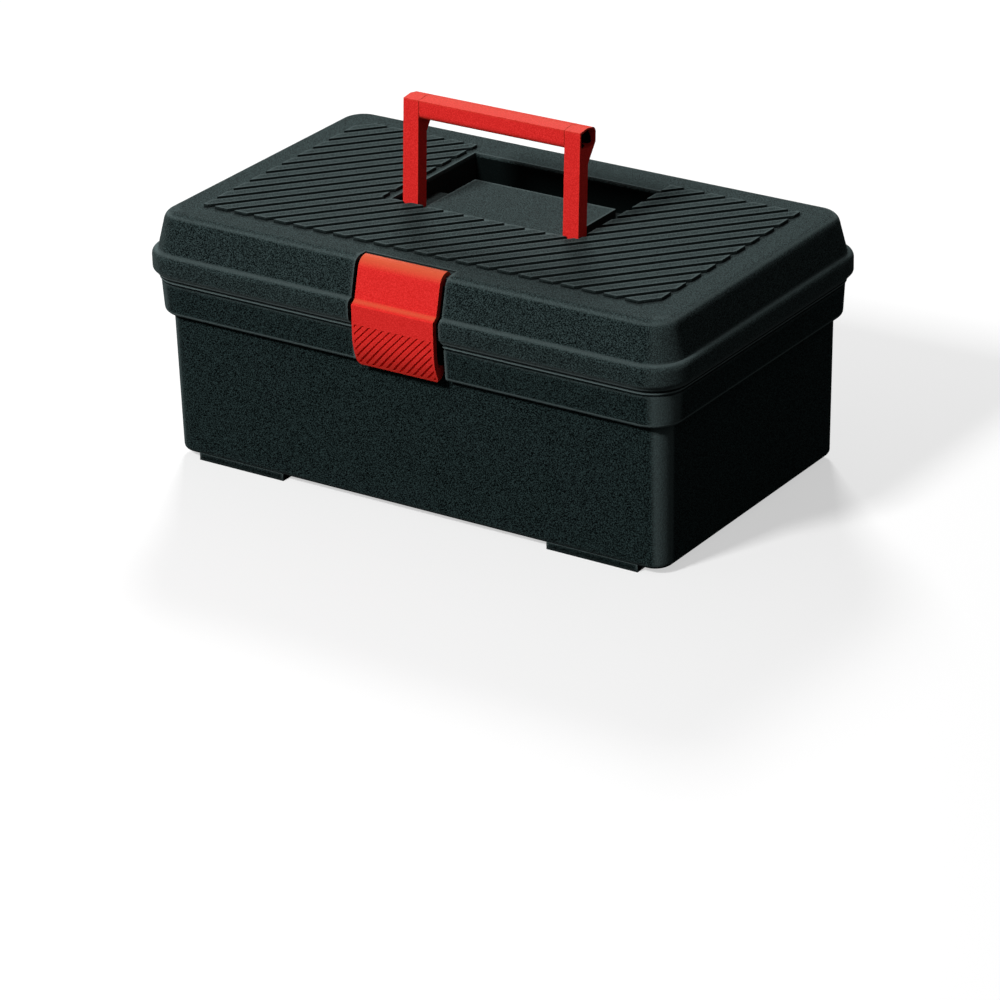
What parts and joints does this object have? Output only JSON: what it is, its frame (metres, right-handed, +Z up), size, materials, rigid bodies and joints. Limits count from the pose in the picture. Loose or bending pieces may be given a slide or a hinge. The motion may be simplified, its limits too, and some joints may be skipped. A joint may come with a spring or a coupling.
{
  "type": "toolbox with tray",
  "caption": "Black plastic hand toolbox with a ribbed hinged lid, a red drop handle, a red snap latch and a lift-out tray.",
  "frame": {"origin": "on the ground under the middle of the box's outline, hinge knuckles and latch counted in", "axes": "+X along the box to the user's right as they face the latch, the latch faces -Y, +Z up from the feet"},
  "size_m": [0.33, 0.2114, 0.1989],
  "materials": {
    "black_plastic": "fine spark-eroded grain",
    "red_plastic": "satin",
    "pin_steel": "blackened"
  },
  "bodies": {
    "base": {"base": "black_plastic", "hinge_pin_left": "pin_steel", "hinge_pin_right": "pin_steel"},
    "lid": {"lid": "black_plastic", "latch_pin": "pin_steel"},
    "handle": {"handle_bail": "red_plastic", "handle_grip": "red_plastic"},
    "latch": {"latch": "red_plastic"},
    "tray": {"tray": "black_plastic", "tray_divider": "black_plastic"}
  },
  "joints": [
    {"name": "lid_hinge", "type": "hinge", "parent": "base", "child": "lid", "pos_m": [0, 0.1017, 0.1035], "axis": [-1, 0, 0], "range_deg": [0, 105]},
    {"name": "latch_hinge", "type": "hinge", "parent": "lid", "child": "latch", "pos_m": [0, -0.09165, 0.1372], "axis": [-1, 0, 0], "range_deg": [0, 75]},
    {"name": "handle_fold", "type": "hinge", "parent": "lid", "child": "handle", "pos_m": [0, -0.0169, 0.1354], "axis": [-1, 0, 0], "range_deg": [0, 86.5]},
    {"name": "tray_lift", "type": "slide", "parent": "base", "child": "tray", "axis": [0, 0, 1], "range_m": [0, 0.015]}
  ]
}
